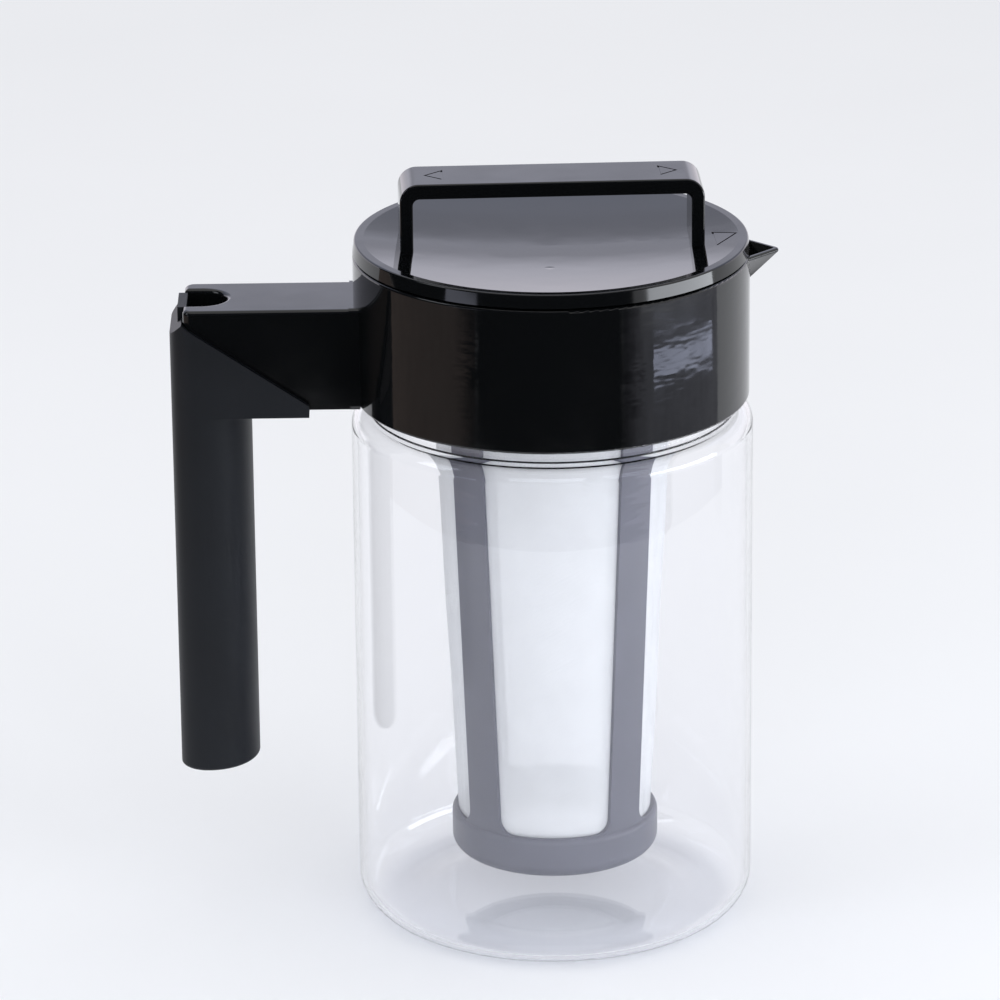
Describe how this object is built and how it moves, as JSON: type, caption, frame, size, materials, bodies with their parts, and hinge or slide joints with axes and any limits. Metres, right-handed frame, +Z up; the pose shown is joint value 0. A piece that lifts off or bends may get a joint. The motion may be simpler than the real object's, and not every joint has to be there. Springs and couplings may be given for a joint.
{
  "type": "cold brew coffee maker",
  "caption": "Clear jug with a black collar, beak spout and side handle; a lid with a bridge bail turns to pour, and a tapered mesh filter hangs from the lid inside.",
  "frame": {"origin": "centre of the base's contact plane, on the jug's axis", "axes": "+Z up along the jug's axis, +X towards the spout, the handle towards -X"},
  "size_m": [0.1626, 0.108, 0.208],
  "materials": {
    "clear_plastic": "clear copolyester, injection moulded and polished",
    "black_gloss": "black ABS moulded in a polished tool",
    "grip_matte": "soft black polypropylene with a fine matte tool texture",
    "inner_black": "black polypropylene, satin",
    "filter_grey": "grey polypropylene, satin",
    "mesh_white": "fine white nylon mesh",
    "silicone": "translucent grey food-grade silicone",
    "steel": "stainless steel"
  },
  "bodies": {
    "jug": {"vessel": "clear_plastic", "neck_seal": "silicone", "collar": "black_gloss", "handle_arm": "black_gloss", "grip_sleeve": "grip_matte"},
    "plug": {"lid_plug": "inner_black", "lid_seal": "silicone"},
    "cover": {"lid_cover": "black_gloss", "lid_shutter": "inner_black", "pivot_washer": "steel", "pivot_screw": "steel", "pivot_oring": "silicone"},
    "filter": {"filter_frame": "filter_grey", "mesh_panel_1": "mesh_white", "mesh_panel_2": "mesh_white", "mesh_panel_3": "mesh_white", "mesh_panel_4": "mesh_white", "mesh_base": "mesh_white", "filter_seal": "silicone"}
  },
  "joints": [
    {"name": "lid_lift", "type": "slide", "parent": "jug", "child": "plug", "axis": [0, 0, 1], "range_m": [0, 0.18]},
    {"name": "lid_turn", "type": "hinge", "parent": "plug", "child": "cover", "pos_m": [0, 0, 0.187], "axis": [0, 0, 1], "range_deg": [-1.8, 88.2]},
    {"name": "filter_turn", "type": "hinge", "parent": "plug", "child": "filter", "pos_m": [0, 0, 0.158], "axis": [0, 0, 1], "range_deg": [-60, 0]}
  ]
}
